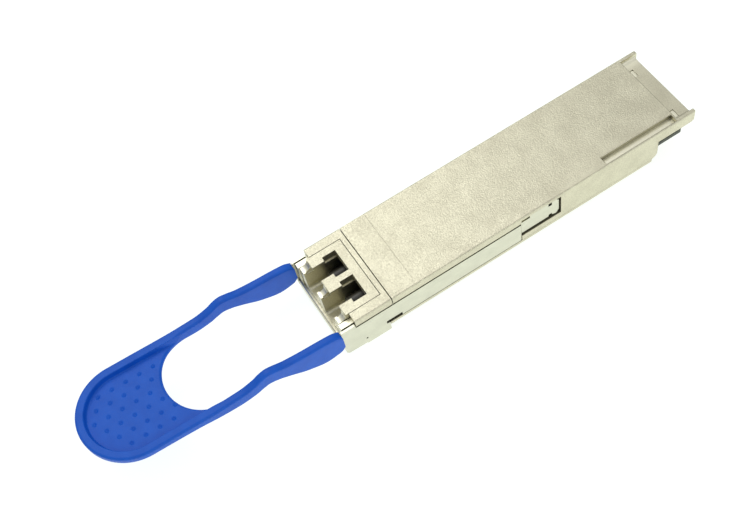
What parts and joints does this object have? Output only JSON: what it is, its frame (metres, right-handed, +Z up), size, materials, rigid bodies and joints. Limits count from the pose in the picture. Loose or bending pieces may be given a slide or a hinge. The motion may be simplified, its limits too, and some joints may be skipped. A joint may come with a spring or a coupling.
{
  "type": "optical transceiver module",
  "caption": "Slim pluggable optical transceiver: die-cast metal housing, duplex fibre receptacle at the nose, sprung side release slider and looped plastic pull tab.",
  "frame": {"origin": "centre of the housing's flat bottom face", "axes": "+Y towards the host connector, -Y towards the fibre receptacle and pull tab, +Z up to the heat-sink face, +X the side with the keying groove"},
  "size_m": [0.0192, 0.1265, 0.011],
  "materials": {
    "housing": "satin nickel plating on a zinc die casting",
    "spring_steel": "plain rolled stainless sheet and wire",
    "tab_plastic": "moulded, fine satin texture",
    "barrel_steel": "turned",
    "ceramic": "ground zirconia",
    "optics_gold": "gold plated package",
    "flex_film": "polyimide film",
    "board": "dark green solder mask on laminate",
    "contact_gold": "hard gold plating",
    "chip_black": "moulded package",
    "capacitor": "fired ceramic",
    "resistor_black": "glazed",
    "can_metal": "seam-welded lid",
    "thermal_pad": "filled silicone",
    "elastomer": "conductive silicone"
  },
  "bodies": {
    "housing": {"base_shell": "housing", "contacts_bottom_inner": "contact_gold", "contacts_bottom_outer": "contact_gold", "contacts_top_inner": "contact_gold", "contacts_top_outer": "contact_gold", "coupling_capacitors": "capacitor", "decoupling_capacitors": "capacitor", "housing_screws": "barrel_steel", "laser_driver": "chip_black", "lc_receptacle": "housing", "main_board": "board", "microcontroller": "chip_black", "optics_bracket": "spring_steel", "optics_thermal_pad": "thermal_pad", "oscillator": "can_metal", "power_converters": "chip_black", "power_inductors": "chip_black", "processor_thermal_pad": "thermal_pad", "receive_barrel": "barrel_steel", "receive_flex": "flex_film", "receive_optics": "optics_gold", "receive_sleeve": "ceramic", "receive_stub": "ceramic", "receiver_amplifier": "chip_black", "receptacle_gasket": "elastomer", "resistors": "resistor_black", "return_spring_left": "spring_steel", "return_spring_right": "spring_steel", "seam_gasket_left": "elastomer", "seam_gasket_right": "elastomer", "signal_processor": "chip_black", "top_cover": "housing", "transmit_barrel": "barrel_steel", "transmit_flex": "flex_film", "transmit_optics": "optics_gold", "transmit_sleeve": "ceramic", "transmit_stub": "ceramic"},
    "release": {"release_slider": "spring_steel", "pull_tab": "tab_plastic"}
  },
  "joints": [
    {"name": "release_slide", "type": "slide", "parent": "housing", "child": "release", "axis": [0, -1, 0], "range_m": [0, 0.0018], "stiffness_N_per_m": 900, "springref_m": -0.0012, "deforming": ["return_spring_left", "return_spring_right"]}
  ]
}
